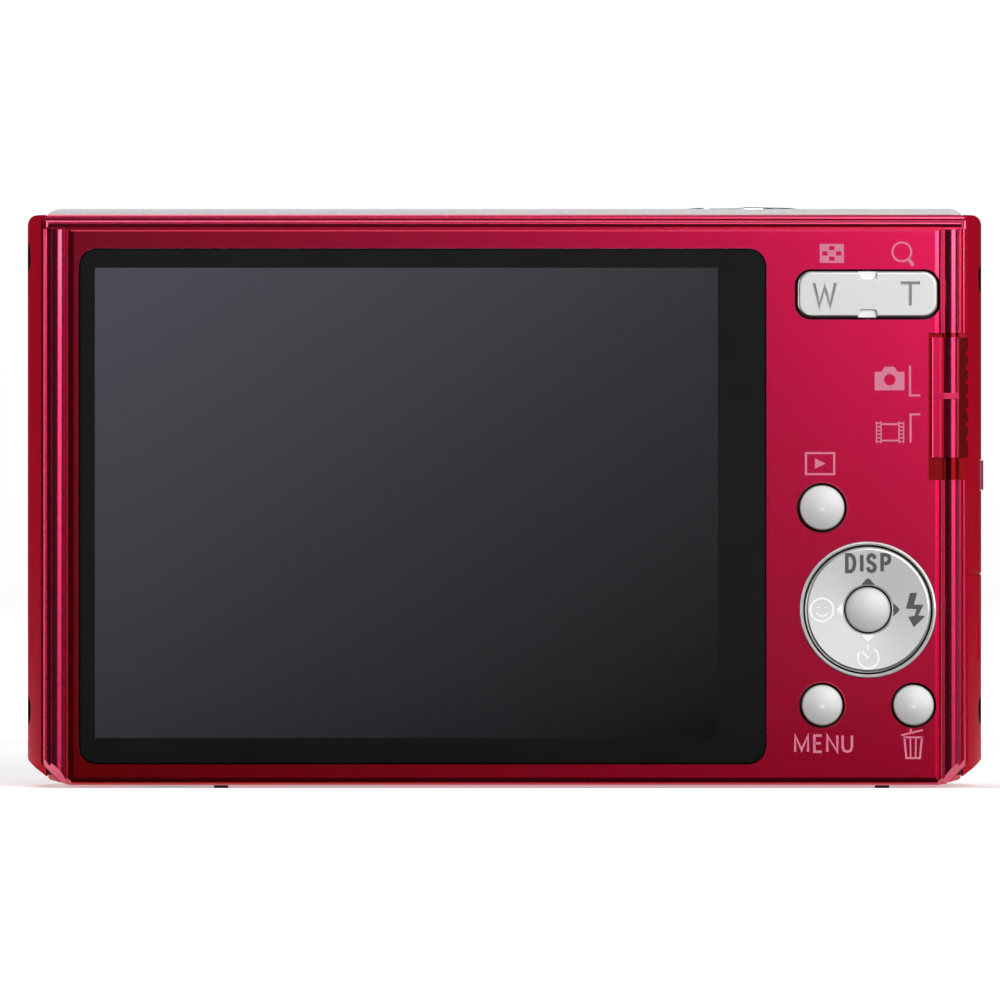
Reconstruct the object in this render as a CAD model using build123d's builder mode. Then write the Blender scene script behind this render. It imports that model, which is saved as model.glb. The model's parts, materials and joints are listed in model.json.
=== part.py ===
from build123d import *
import os
from math import sqrt

# Compact digital camera with a retracting zoom lens. Millimetres.
# +X is to the right as seen from behind, +Y points where the lens looks, +Z is up.
# The origin is at the middle of the camera's footprint, level with the soles of its feet.

# ---- Driving dimensions -------------------------------------------------------------------
half_width = 46.9          # widest point of the side trims
case_bottom = 0.3          # the feet lift the casing this much
case_top = 56.0            # top of the red casing
top_plate_top = 56.6       # top of the silver cover
rear_face = -9.1           # flat rear panel
front_face = 9.1           # flat front panel
skin = 1.0                 # wall of the covers
cavity_top = 55.0
rear_seam = -7.5           # where the rear cover meets the side trims
front_seam = 7.5
panel_half = 42.0          # half width of the flat part of the rear panel
shell_half = 45.0          # half width of the rear and front covers
trim_inner = 44.8          # inner plane of the side trims

# Lower corners: a shallow cut, then a steeper one, and a facet slanting in to each flat panel
cut_start_x = 42.3
cut_knee = (44.4, 0.8)
cut_slope = 0.78
facet_x, facet_z = 43.0, 1.5
facet_lean = 0.8
cavity_cut = 2.9

# Display
glass_x = (-41.5, 25.5)
glass_z = (2.4, 52.65)
glass_corner = 1.75
panel_x = (-41.2, 24.2)
panel_z = (3.6, 52.3)

# Rear controls
rocker_x, rocker_z = 35.4, 48.2
rocker_width, rocker_height = 13.6, 4.5
play_x, play_z = 30.98, 27.4
play_radius = 2.17
small_radius = 1.97
menu_x, delete_x, low_button_z = 30.98, 39.9, 8.13
pad_x, pad_z = 35.45, 17.45
pad_radius = 6.15
centre_radius = 2.18
crown_y = -9.45            # tops of the domed buttons
board_y = (-6.2, -5.7)     # key board behind the controls
dome_top_y = -6.45

# Mode switch on the right edge
switch_x = (41.65, 45.25)
switch_z = (32.3, 44.0)
switch_slot_z = (30.1, 44.45)
switch_slot_x = 41.35
switch_travel = 1.86
stem_x, stem_z = (42.0, 42.8), (36.5, 41.5)
index_z = 38.3

# Lens
lens_x, lens_z = -9.0, 27.5
base_bore = 15.95
base_radius = 17.5
outer_barrel_radius = 15.7
outer_barrel_bore = 14.5
inner_barrel_radius = 14.2
inner_barrel_bore = 12.9
barrel_front = 9.3

# Top controls
shutter_x = 23.4
power_x = 8.5

# Underside
socket_x = -33.0
thread_radius = 2.55       # 1/4-20 UNC thread, minor radius
door_x = (12.3, 43.6)
door_y = (-4.75, 6.4)
hinge_x, hinge_z = 43.0, 0.9
knuckle_radius = 0.6
pin_radius = 0.3
foot_x = (-27.7, 36.9)
foot_y = (-6.9, 7.25)

# Battery and card
battery_x = (13.0, 42.0)
battery_y = (-0.15, 5.75)
battery_z = (2.0, 40.0)
card_x = (15.5, 39.5)
card_y = (-3.55, -1.45)
card_z = (1.8, 33.8)

os.makedirs("parts", exist_ok=True)

lens_plane = Plane((lens_x, 0, lens_z))
lens_axis = Axis((lens_x, 0, lens_z), (0, 1, 0))


# ---- Helpers ------------------------------------------------------------------------------
def save(piece, label):
    """Label a finished piece and write it as its own STEP file."""
    piece.part.label = label
    export_step(piece.part, f"parts/{label}.step")


def at_y(depth):
    """Upright plane at a depth; its x is X, its y is Z, and extrusions run towards -Y."""
    return Plane.XZ.offset(-depth)


def middle(span):
    return (span[0] + span[1]) / 2


def block(xs, ys, zs, mode=Mode.ADD):
    """Box between pairs of low and high coordinates."""
    with Locations((middle(xs), middle(ys), middle(zs))):
        Box(xs[1] - xs[0], ys[1] - ys[0], zs[1] - zs[0], mode=mode)


def rod_x(y, z, radius, xs, mode=Mode.ADD):
    with Locations(Location((middle(xs), y, z), (0, 90, 0))):
        Cylinder(radius, xs[1] - xs[0], mode=mode)


def rod_y(x, z, radius, ys, mode=Mode.ADD):
    with Locations(Location((x, middle(ys), z), (90, 0, 0))):
        Cylinder(radius, ys[1] - ys[0], mode=mode)


def rod_z(x, y, radius, zs, mode=Mode.ADD):
    with Locations((x, y, middle(zs))):
        Cylinder(radius, zs[1] - zs[0], mode=mode)


def window(xs, zs, radius):
    """Rounded rectangle between low and high coordinates, drawn in the active sketch."""
    with Locations((middle(xs), middle(zs))):
        RectangleRounded(xs[1] - xs[0], zs[1] - zs[0], radius)


def ring_section(radii, ys):
    """Section of a turned ring, drawn in a sketch whose x is the radius and y the depth."""
    with Locations((middle(radii), middle(ys))):
        Rectangle(radii[1] - radii[0], ys[1] - ys[0])


def grown(span, amount):
    return (span[0] - amount, span[1] + amount)


def casing_outline(half, corner):
    """Right half of the casing's upright outline, with its lower corner cut off in two steps."""
    cut_top = cut_knee[1] + (half - cut_knee[0]) * cut_slope
    Polyline(
        (0, case_top),
        (0, case_bottom),
        (cut_start_x, case_bottom),
        cut_knee,
        (half, cut_top),
        (half, case_top - corner),
    )
    RadiusArc((half, case_top - corner), (half - corner, case_top), -corner)
    Line((half - corner, case_top), (0, case_top))


def cavity_outline(half):
    """Right half of the hollow inside a cover."""
    floor = case_bottom + skin
    Polyline((0, cavity_top), (0, floor), (half - cavity_cut, floor), (half, floor + cavity_cut))
    Polyline((half, floor + cavity_cut), (half, cavity_top), (0, cavity_top))


def facet_corners():
    """Take the slanted facets off the lower corners of the part in hand."""
    for side in (-1, 1):
        for end in (-1, 1):
            facet = Plane((side * facet_x, end * front_face, facet_z), z_dir=(side, end * facet_lean, -1))
            with Locations(facet.location):
                Box(14, 14, 5, align=(Align.CENTER, Align.CENTER, Align.MIN), mode=Mode.SUBTRACT)


# ---- Rear cover ---------------------------------------------------------------------------
slot_gap = 0.05
rim_chamfer = 0.15
key_gap = 0.25
band_z = 54.6
ear_z = ((44.9, 45.6), (50.8, 51.5))
rocker_pivot_y = -7.4
boss_x, boss_zs = 25.9, (6.0, 48.0)

with BuildPart() as rear_cover:
    # Plan: flat panel, valley, ridge, step and a small bead against the side trim.
    with BuildSketch(Plane.XY):
        with BuildLine():
            Polyline((0, rear_seam), (0, rear_face), (panel_half, rear_face))
            ThreePointArc((panel_half, rear_face), (42.38, -9.03), (42.7, -8.85))
            Polyline((42.7, -8.85), (42.8, -8.6), (42.95, -8.6), (43.0, -8.74))
            ThreePointArc((43.0, -8.74), (43.62, -8.94), (44.24, -8.74))
            Polyline((44.24, -8.74), (44.34, -8.3), (44.56, -8.22), (44.62, -8.3))
            ThreePointArc((44.62, -8.3), (44.8, -8.4), (shell_half, -8.2))
            Polyline((shell_half, -8.2), (shell_half, rear_seam), (0, rear_seam))
        make_face()
        mirror(about=Plane.YZ)
    extrude(amount=band_z)
    # The band along the top runs the full width, over the ends of the ridges.
    with BuildSketch(Plane.XY.offset(band_z)):
        with BuildLine():
            Polyline((0, rear_seam), (0, rear_face), (44.5, rear_face))
            RadiusArc((44.5, rear_face), (shell_half, rear_face + 0.5), 0.5)
            Polyline((shell_half, rear_face + 0.5), (shell_half, rear_seam), (0, rear_seam))
        make_face()
        mirror(about=Plane.YZ)
    extrude(amount=case_top + 1 - band_z)
    # Side profile: valley, ridge and step along the top edge, a rounded lower edge.
    with BuildSketch(Plane.YZ.offset(-shell_half - 1)):
        with BuildLine():
            Polyline((rear_face, 1.1), (rear_face, 54.35), (-9.0, 54.5), (-8.62, 54.62))
            Polyline((-8.62, 54.62), (-8.62, 54.75), (-8.78, 54.8))
            ThreePointArc((-8.78, 54.8), (-8.96, 55.08), (-8.78, 55.36))
            Polyline((-8.78, 55.36), (-8.4, 55.44), (-8.36, 55.52))
            ThreePointArc((-8.36, 55.52), (-8.28, 55.86), (-8.0, case_top))
            Polyline((-8.0, case_top), (rear_seam, case_top), (rear_seam, case_bottom), (-8.3, case_bottom))
            ThreePointArc((-8.3, case_bottom), (-8.865, 0.534), (rear_face, 1.1))
        make_face()
    extrude(amount=2 * shell_half + 2, mode=Mode.INTERSECT)
    with BuildSketch(at_y(0)):
        with BuildLine():
            casing_outline(shell_half, 0.7)
        make_face()
        mirror(about=Plane.YZ)
    extrude(amount=12, mode=Mode.INTERSECT)
    # Hollow behind the panel.
    with BuildSketch(at_y(0)):
        with BuildLine():
            cavity_outline(44.1)
        make_face()
        mirror(about=Plane.YZ)
    extrude(amount=-(rear_face + skin), mode=Mode.SUBTRACT)
    facet_corners()
    # Openings for the glass and the controls.
    with BuildSketch(at_y(0)):
        window(grown(glass_x, slot_gap), grown(glass_z, slot_gap), glass_corner + slot_gap)
        with Locations((rocker_x, rocker_z)):
            RectangleRounded(rocker_width + 0.6, rocker_height + 0.4, 1.6)
        with Locations((play_x, play_z)):
            Circle(play_radius + key_gap)
        with Locations((menu_x, low_button_z), (delete_x, low_button_z)):
            Circle(small_radius + key_gap)
        with Locations((pad_x, pad_z)):
            Circle(6.7)
    extrude(amount=12, mode=Mode.SUBTRACT)
    panel = rear_cover.faces().sort_by(Axis.Y)[0]
    chamfer(panel.edges().filter_by(lambda edge: edge.is_closed), length=rim_chamfer)
    # Sunken track of the mode switch, whose floor repeats the ridge, and the slot for its stem.
    with BuildSketch(Plane.XY.offset(switch_slot_z[0])):
        with BuildLine():
            Polyline((switch_slot_x, -10), (switch_slot_x, -8.5), (42.7, -8.5), (42.95, -8.35), (43.05, -8.35))
            ThreePointArc((43.05, -8.35), (43.62, -8.5), (44.2, -8.35))
            Polyline((44.2, -8.35), (44.35, -8.12), (46, -8.1), (46, -10), (switch_slot_x, -10))
        make_face()
    extrude(amount=switch_slot_z[1] - switch_slot_z[0], mode=Mode.SUBTRACT)
    block(grown(stem_x, 0.1), (-9, -8), (stem_z[0] - 0.1 - switch_travel, stem_z[1] + 0.1), Mode.SUBTRACT)
    # Ears that hold the rocker's pin, and two screw bosses.
    for zs in ear_z:
        block((34.5, 36.3), (rear_face + skin, -6.8), zs)
    rod_z(rocker_x, rocker_pivot_y, 0.38, (44.9, 51.5), Mode.SUBTRACT)
    for boss_z in boss_zs:
        rod_y(boss_x, boss_z, 0.9, (rear_face + skin, -5.45))
        rod_y(boss_x, boss_z, 0.4, (-7.6, -5.45), Mode.SUBTRACT)
save(rear_cover, "rear_cover")


# ---- Front cover --------------------------------------------------------------------------
lens_ring_hole = 18.05
flash_x, flash_z = (13.0, 26.0), (45.8, 50.8)
lamp_x, lamp_z, lamp_radius = 6.0, 48.8, 1.5
microphone_x = (-2.2, 0.2)

with BuildPart() as front_cover:
    with BuildSketch(Plane.XY):
        with BuildLine():
            Polyline((0, front_seam), (0, front_face), (43.2, front_face))
            ThreePointArc((43.2, front_face), (44.5, 8.6), (shell_half, front_seam))
            Line((shell_half, front_seam), (0, front_seam))
        make_face()
        mirror(about=Plane.YZ)
    extrude(amount=case_top + 1)
    with BuildSketch(Plane.YZ.offset(-shell_half - 1)):
        with BuildLine():
            Polyline((front_seam, case_bottom), (8.1, case_bottom))
            ThreePointArc((8.1, case_bottom), (8.807, 0.593), (front_face, case_bottom + 1))
            Line((front_face, case_bottom + 1), (front_face, case_top - 1))
            ThreePointArc((front_face, case_top - 1), (8.807, 55.707), (8.1, case_top))
            Polyline((8.1, case_top), (front_seam, case_top), (front_seam, case_bottom))
        make_face()
    extrude(amount=2 * shell_half + 2, mode=Mode.INTERSECT)
    with BuildSketch(at_y(front_face + 1)):
        with BuildLine():
            casing_outline(shell_half, 0.7)
        make_face()
        mirror(about=Plane.YZ)
    extrude(amount=4, mode=Mode.INTERSECT)
    with BuildSketch(at_y(front_face - skin)):
        with BuildLine():
            cavity_outline(44.0)
        make_face()
        mirror(about=Plane.YZ)
    extrude(amount=2, mode=Mode.SUBTRACT)
    facet_corners()
    with BuildSketch(at_y(front_face + 1)):
        with Locations((lens_x, lens_z)):
            Circle(lens_ring_hole)
        window(grown(flash_x, slot_gap), grown(flash_z, slot_gap), 0.85)
        with Locations((lamp_x, lamp_z)):
            Circle(lamp_radius + slot_gap)
        with Locations((microphone_x[0], 51.5), (microphone_x[1], 51.5)):
            Circle(0.35)
    extrude(amount=4, mode=Mode.SUBTRACT)
save(front_cover, "front_cover")


# ---- Side trims ---------------------------------------------------------------------------
trim_end_y = 7.4
trim_seam_z = 20.9
seam_groove = 0.14
trim_edge_x = 45.3         # where the bulge starts
lug_z = (29.1, 32.1)
lug_pocket_y = (-3.0, 3.0)
reset_slot_y, reset_slot_z = (-4.4, -3.4), (12.4, 15.8)
screw_y = -2.5
screw_head_x = (45.85, 46.4)
left_screw_zs = (7.5, 51.9)
right_screw_zs = (49.9,)
lower_screw_zs = (7.5,)


def side_trim(zs, screw_zs):
    """Bulged strip closing the casing's right side between two heights."""
    with BuildPart() as trim:
        with BuildSketch(Plane.XY.offset(zs[0])):
            with BuildLine():
                Polyline((trim_edge_x, -trim_end_y), (trim_inner, -trim_end_y), (trim_inner, trim_end_y))
                Line((trim_inner, trim_end_y), (trim_edge_x, trim_end_y))
                ThreePointArc((trim_edge_x, trim_end_y), (half_width, 0), (trim_edge_x, -trim_end_y))
            make_face()
        extrude(amount=zs[1] - zs[0])
        with BuildSketch(at_y(trim_end_y + 1)):
            with BuildLine():
                casing_outline(half_width, 1.1)
            make_face()
        extrude(amount=2 * trim_end_y + 2, mode=Mode.INTERSECT)
        facet_corners()
        for screw_z in screw_zs:
            rod_x(screw_y, screw_z, 1.4, (screw_head_x[0], half_width + 1), Mode.SUBTRACT)
            rod_x(screw_y, screw_z, 0.65, (trim_inner - 1, half_width), Mode.SUBTRACT)
    return trim


side_trim_right = side_trim((trim_seam_z, case_top), right_screw_zs)
with side_trim_right:
    chamfer(side_trim_right.edges().group_by(Axis.Z)[0].filter_by(GeomType.CIRCLE), length=seam_groove)
    block((trim_edge_x, half_width + 1), lug_pocket_y, lug_z, Mode.SUBTRACT)
save(side_trim_right, "side_trim_right")

side_trim_lower = side_trim((case_bottom, trim_seam_z), lower_screw_zs)
with side_trim_lower:
    chamfer(side_trim_lower.edges().group_by(Axis.Z)[-1].filter_by(GeomType.CIRCLE), length=seam_groove)
    block((46.0, half_width + 1), reset_slot_y, reset_slot_z, Mode.SUBTRACT)
save(side_trim_lower, "side_trim_right_lower")

side_trim_left = side_trim((case_bottom, case_top), left_screw_zs)
with side_trim_left:
    mirror(about=Plane.YZ, mode=Mode.REPLACE)
save(side_trim_left, "side_trim_left")

lug_y = (-0.9, 0.9)
lug_bar_x, lug_arm_x = (46.3, 47.1), (45.35, 46.5)
lug_low, lug_high = lug_z[0] + 0.05, lug_z[1] - 0.05
lug_arm_height = 0.6

with BuildPart() as strap_lug:
    block(lug_bar_x, lug_y, (lug_low, lug_high))
    fillet(strap_lug.edges().filter_by(Axis.Z), radius=0.3)
    for arm_low in (lug_low, lug_high - lug_arm_height):
        block(lug_arm_x, lug_y, (arm_low, arm_low + lug_arm_height))
save(strap_lug, "strap_lug")


# ---- Top cover and its buttons ------------------------------------------------------------
top_half = 44.7
cover_depth = 7.4
top_underside = 55.8
shutter_hole = 5.05
power_radius = 2.2
speaker_x = -16.0
speaker_hole_pitch = 1.5

with BuildPart() as top_cover:
    # Long section with ends that curve down to the casing.
    with BuildSketch(at_y(cover_depth)):
        with BuildLine():
            Polyline((0, 54.9), (top_half, 54.9), (top_half, case_top), (44.45, 56.2))
            ThreePointArc((44.45, 56.2), (43.95, 56.5), (43.2, top_plate_top))
            Polyline((43.2, top_plate_top), (0, top_plate_top), (0, 54.9))
        make_face()
        mirror(about=Plane.YZ)
    extrude(amount=2 * cover_depth)
    long_edges = top_cover.edges().group_by(Axis.Z)[-1].filter_by(Axis.X)
    fillet(long_edges, radius=0.5)
    block((-43.9, 43.9), (-6.6, 6.6), (54.9, top_underside), Mode.SUBTRACT)
    rod_z(shutter_x, 0, shutter_hole, (54.0, 58.0), Mode.SUBTRACT)
    rod_z(power_x, 0, power_radius + 0.12, (54.0, 58.0), Mode.SUBTRACT)
    with Locations((speaker_x, 0, top_plate_top)):
        with GridLocations(speaker_hole_pitch, speaker_hole_pitch, 4, 2):
            Hole(0.35)
save(top_cover, "top_cover")

with BuildPart() as shutter_ring:
    with BuildSketch(Plane((shutter_x, 0, 0), x_dir=(1, 0, 0), z_dir=(0, -1, 0))):
        with BuildLine():
            Polyline((4.45, 55.0), (5.0, 55.0), (5.0, 56.62), (5.45, 56.62), (5.45, 56.7))
            ThreePointArc((5.45, 56.7), (5.39, 56.77), (5.3, 56.8))
            Polyline((5.3, 56.8), (4.7, 56.8), (4.45, 56.6), (4.45, 55.0))
        make_face()
    revolve(axis=Axis((shutter_x, 0, 0), (0, 0, 1)))
save(shutter_ring, "shutter_ring")

with BuildPart() as shutter_button:
    rod_z(shutter_x, 0, 4.3, (54.2, 56.75))
    fillet(shutter_button.edges().group_by(Axis.Z)[-1], radius=0.3)
    rod_z(shutter_x, 0, 4.9, (54.2, 54.6))
    rod_z(shutter_x, 0, 1.6, (53.6, 54.2))
save(shutter_button, "shutter_button")

with BuildPart() as power_button:
    rod_z(power_x, 0, power_radius, (54.2, 56.65))
    fillet(power_button.edges().group_by(Axis.Z)[-1], radius=0.2)
    rod_z(power_x, 0, 2.9, (54.2, 54.6))
    rod_z(power_x, 0, 1.2, (53.4, 54.2))
save(power_button, "power_button")

with BuildPart() as top_board:
    block((3.0, 31.0), (-4.0, 4.5), (52.2, 52.8))
save(top_board, "top_board")

with BuildPart() as speaker:
    rod_z(speaker_x, 0, 4.5, (52.4, 54.6))
    rod_z(speaker_x, 0, 2.0, (54.0, 54.6), Mode.SUBTRACT)
save(speaker, "speaker")


# ---- Underside ----------------------------------------------------------------------------
plate_top = case_bottom + skin
socket_radius = 4.2
data_x, data_y = (-21.0, -12.0), (-2.0, 2.0)
door_gap = 0.15
bottom_screws = ((-42.0, 5.0), (-42.0, -4.2), (-3.0, 5.0), (8.5, -4.2))
bottom_head_z = (0.4, 0.75)
head_radius, shank_radius, shank_hole = 1.0, 0.55, 0.65
slot_reach, slot_half = 0.6, 0.12
foot_half = (0.7, 0.45)

with BuildPart() as bottom_plate:
    block((-44.6, 44.6), (-cover_depth, cover_depth), (case_bottom, plate_top))
    with BuildSketch(at_y(cover_depth)):
        with BuildLine():
            casing_outline(shell_half, 0.7)
        make_face()
        mirror(about=Plane.YZ)
    extrude(amount=2 * cover_depth, mode=Mode.INTERSECT)
    facet_corners()
    block(grown(door_x, door_gap), grown(door_y, door_gap), (0, 2), Mode.SUBTRACT)
    block(grown(data_x, 0.1), grown(data_y, 0.1), (0, 2), Mode.SUBTRACT)
    rod_z(socket_x, 0, socket_radius + 0.05, (0, 2), Mode.SUBTRACT)
    rod_y(hinge_x, hinge_z, pin_radius + 0.02, (-5.35, 7.0), Mode.SUBTRACT)
    for screw_x, screw_depth in bottom_screws:
        rod_z(screw_x, screw_depth, 1.15, (0, bottom_head_z[1]), Mode.SUBTRACT)
        rod_z(screw_x, screw_depth, 0.65, (0, 2), Mode.SUBTRACT)
save(bottom_plate, "bottom_plate")

with BuildPart() as base_feet:
    for x in foot_x:
        for y in foot_y:
            block(grown((x, x), foot_half[0]), grown((y, y), foot_half[1]), (0, case_bottom))
    fillet(base_feet.edges().filter_by(Axis.Z), radius=0.3)
save(base_feet, "base_feet")

with BuildPart() as casing_screws:
    for screw_x, screw_depth in bottom_screws:
        rod_z(screw_x, screw_depth, head_radius, bottom_head_z)
        rod_z(screw_x, screw_depth, shank_radius, (bottom_head_z[0], 3.2))
        for reach_x, reach_y in ((slot_reach, slot_half), (slot_half, slot_reach)):
            slot_ys = grown((screw_depth, screw_depth), reach_y)
            block(grown((screw_x, screw_x), reach_x), slot_ys, (0.3, 0.6), Mode.SUBTRACT)
    for side, heights in ((-1, left_screw_zs), (1, right_screw_zs + lower_screw_zs)):
        for screw_z in heights:
            rod_x(screw_y, screw_z, head_radius, sorted((side * screw_head_x[0], side * screw_head_x[1])))
            rod_x(screw_y, screw_z, shank_radius, sorted((side * 43.6, side * screw_head_x[1])))
            slot_xs = sorted((side * 46.15, side * half_width))
            for reach_y, reach_z in ((slot_reach, slot_half), (slot_half, slot_reach)):
                slot_zs = grown((screw_z, screw_z), reach_z)
                block(slot_xs, grown((screw_y, screw_y), reach_y), slot_zs, Mode.SUBTRACT)
save(casing_screws, "casing_screws")

with BuildPart() as tripod_socket:
    rod_z(socket_x, 0, socket_radius, (case_bottom, 6.4))
    block((socket_x - 6.5, socket_x + 6.5), (-5.0, 5.0), (plate_top + 0.1, 2.4))
    rod_z(socket_x, 0, thread_radius, (0, 5.6), Mode.SUBTRACT)
save(tripod_socket, "tripod_socket")

with BuildPart() as data_socket:
    block(data_x, data_y, (0.4, 6.0))
    block(grown(data_x, -0.7), grown(data_y, -0.6), (0, 4.8), Mode.SUBTRACT)
    block(grown(data_x, -1.6), (-0.35, 0.35), (1.0, 4.9))
save(data_socket, "data_socket")

door_thickness = (case_bottom, 2 * hinge_z - case_bottom)
catch_slot_x, catch_slot_y = (14.5, 20.0), (0.0, 2.6)

with BuildPart() as battery_door:
    block((door_x[0], hinge_x), door_y, door_thickness)
    rod_y(hinge_x, hinge_z, knuckle_radius, door_y)
    rod_y(hinge_x, hinge_z, pin_radius + 0.05, grown(door_y, 1), Mode.SUBTRACT)
    block(catch_slot_x, catch_slot_y, (0, 3), Mode.SUBTRACT)
save(battery_door, "battery_door")

with BuildPart() as door_pin:
    rod_y(hinge_x, hinge_z, pin_radius, (-5.3, 6.95))
save(door_pin, "door_pin")

with BuildPart() as door_catch:
    block((15.0, 18.0), (0.15, 2.45), (0.35, 1.55))
    for groove in range(4):
        groove_x = 15.6 + 0.6 * groove
        block((groove_x - 0.1, groove_x + 0.1), (0.0, 3.0), (0.3, 0.5), Mode.SUBTRACT)
    block((13.6, 21.0), (-0.8, 3.4), (1.53, 1.78))
save(door_catch, "door_catch")


# ---- Display ------------------------------------------------------------------------------
tray_wall = 0.3

with BuildPart() as lcd_window:
    with BuildSketch(at_y(rear_face + 0.8)):
        window(glass_x, glass_z, glass_corner)
    extrude(amount=0.8)
    chamfer(lcd_window.faces().sort_by(Axis.Y)[0].edges(), length=0.15)
save(lcd_window, "lcd_window")

with BuildPart() as lcd_panel:
    block(panel_x, (-8.05, -6.6), panel_z)
save(lcd_panel, "lcd_panel")

with BuildPart() as lcd_tray:
    block(grown(panel_x, 0.1 + tray_wall), (-7.9, -6.25), grown(panel_z, 0.1 + tray_wall))
    block(grown(panel_x, 0.1), (-7.9, -6.55), grown(panel_z, 0.1), Mode.SUBTRACT)
save(lcd_tray, "lcd_tray")


# ---- Rear controls ------------------------------------------------------------------------
stem_end_y = -6.78
wide_x, tele_x = 31.2, 39.55
letter_width, letter_height = (2.1, 1.9), 2.2
letter_stroke, letter_depth = 0.3, 0.12

with BuildPart() as zoom_rocker:
    with BuildSketch(at_y(-8.15)):
        with Locations((rocker_x, rocker_z)):
            RectangleRounded(rocker_width, rocker_height, 1.35)
    extrude(amount=1.25)
    fillet(zoom_rocker.faces().sort_by(Axis.Y)[0].edges(), radius=0.25)
    # Sunken finger marks in the middle of both long edges.
    with BuildSketch(at_y(-9.0)):
        for side in (-1, 1):
            with Locations((rocker_x, rocker_z + side * rocker_height / 2)):
                RectangleRounded(1.85, 1.6, 0.3)
    extrude(amount=1, mode=Mode.SUBTRACT)
    # Engraved wide and tele letters.
    with BuildSketch(at_y(-9.4)):
        with BuildLine():
            wide_points = [
                (wide_x + step * letter_width[0] / 4, rocker_z + rise * letter_height / 2)
                for step, rise in ((-2, 1), (-1, -1), (0, 0.6), (1, -1), (2, 1))
            ]
            Polyline(*wide_points)
        trace(line_width=letter_stroke)
        with Locations((tele_x, rocker_z)):
            Rectangle(letter_stroke, letter_height)
            with Locations((0, letter_height / 2)):
                Rectangle(letter_width[1], letter_stroke)
    extrude(amount=-letter_depth, mode=Mode.SUBTRACT)
    with BuildSketch(at_y(-7.25)):
        with Locations((rocker_x, rocker_z)):
            RectangleRounded(15.0, 3.3, 1.0)
    extrude(amount=0.35)
    block((34.6, 36.2), (-8.2, -6.85), (46.8, 49.6))
    rod_z(rocker_x, rocker_pivot_y, 0.42, (46.0, 50.4), Mode.SUBTRACT)
save(zoom_rocker, "zoom_rocker")

with BuildPart() as rocker_pin:
    rod_z(rocker_x, rocker_pivot_y, 0.36, (44.95, 51.45))
save(rocker_pin, "rocker_pin")


def domed_button(x, z, radius):
    """Turned button with a domed top, a hidden flange and a stem that meets its switch."""
    edge_y = crown_y + 0.35
    rim = radius - 0.12
    sphere = (rim**2 + 0.35**2) / (2 * 0.35)
    half_rim_y = crown_y + sphere - sqrt(sphere**2 - (rim / 2) ** 2)
    with BuildPart() as button:
        with BuildSketch(Plane((x, 0, z))):
            with BuildLine():
                ThreePointArc((0, crown_y), (rim / 2, half_rim_y), (rim, edge_y))
                Polyline(
                    (rim, edge_y),
                    (radius, edge_y + 0.15),
                    (radius, -7.9),
                    (radius + 0.65, -7.9),
                    (radius + 0.65, -7.5),
                    (1.0, -7.5),
                    (1.0, stem_end_y),
                    (0, stem_end_y),
                    (0, crown_y),
                )
            make_face()
        revolve(axis=Axis((x, 0, z), (0, 1, 0)))
    return button


playback_button = domed_button(play_x, play_z, play_radius)
save(playback_button, "playback_button")
menu_button = domed_button(menu_x, low_button_z, small_radius)
save(menu_button, "menu_button")
delete_button = domed_button(delete_x, low_button_z, small_radius)
save(delete_button, "delete_button")

pad_bore = centre_radius + 0.17
pad_plane = Plane((pad_x, 0, pad_z))
pad_axis = Axis((pad_x, 0, pad_z), (0, 1, 0))

with BuildPart() as control_pad:
    with BuildSketch(pad_plane):
        with BuildLine():
            Polyline(
                (pad_bore, -7.2),
                (6.5, -7.2),
                (6.5, -7.45),
                (pad_radius, -7.45),
                (pad_radius, -9.1),
            )
            ThreePointArc((pad_radius, -9.1), (6.06, -9.31), (5.85, -9.4))
            Polyline((5.85, -9.4), (2.5, -9.3), (pad_bore, -9.15), (pad_bore, -7.2))
        make_face()
    revolve(axis=pad_axis)
save(control_pad, "control_pad")

with BuildPart() as centre_button:
    with BuildSketch(pad_plane):
        with BuildLine():
            ThreePointArc((0, crown_y), (1.03, -9.37), (2.03, -9.1))
            Polyline((2.03, -9.1), (centre_radius, -8.95), (centre_radius, -6.95), (2.7, -6.95))
            Polyline((2.7, -6.95), (2.7, -6.72), (0, -6.72), (0, crown_y))
        make_face()
    revolve(axis=pad_axis)
save(centre_button, "centre_button")

with BuildPart() as pad_ring:
    with BuildSketch(pad_plane):
        with BuildLine():
            Polyline((6.32, -7.88), (7.4, -7.88), (7.4, -8.05), (6.65, -8.05), (6.65, -9.15))
            ThreePointArc((6.65, -9.15), (6.6, -9.26), (6.49, -9.3))
            Polyline((6.49, -9.3), (6.32, -9.1), (6.32, -7.88))
        make_face()
    revolve(axis=pad_axis)
save(pad_ring, "pad_ring")

with BuildPart() as pad_support:
    with BuildSketch(pad_plane):
        ring_section((3.0, 4.8), (-6.85, -6.65))
    revolve(axis=pad_axis)
save(pad_support, "pad_support")

with BuildPart() as key_board:
    block((27.0, 42.9), board_y, (4.0, 52.0))
    for x, z in ((play_x, play_z), (menu_x, low_button_z), (delete_x, low_button_z), (pad_x, pad_z)):
        rod_y(x, z, 1.6, (dome_top_y, board_y[0]))
    for side in (-1, 1):
        rod_y(pad_x + 3.9 * side, pad_z, 0.8, (dome_top_y, board_y[0]))
        rod_y(pad_x, pad_z + 3.9 * side, 0.8, (dome_top_y, board_y[0]))
        rod_y(rocker_x + 4.5 * side, rocker_z, 1.2, (dome_top_y, board_y[0]))
    block((40.5, 42.5), (-7.1, board_y[0]), (34.0, 41.0))
save(key_board, "key_board")

knurl_pitch = 1.38
knurl_count = 7

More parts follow.
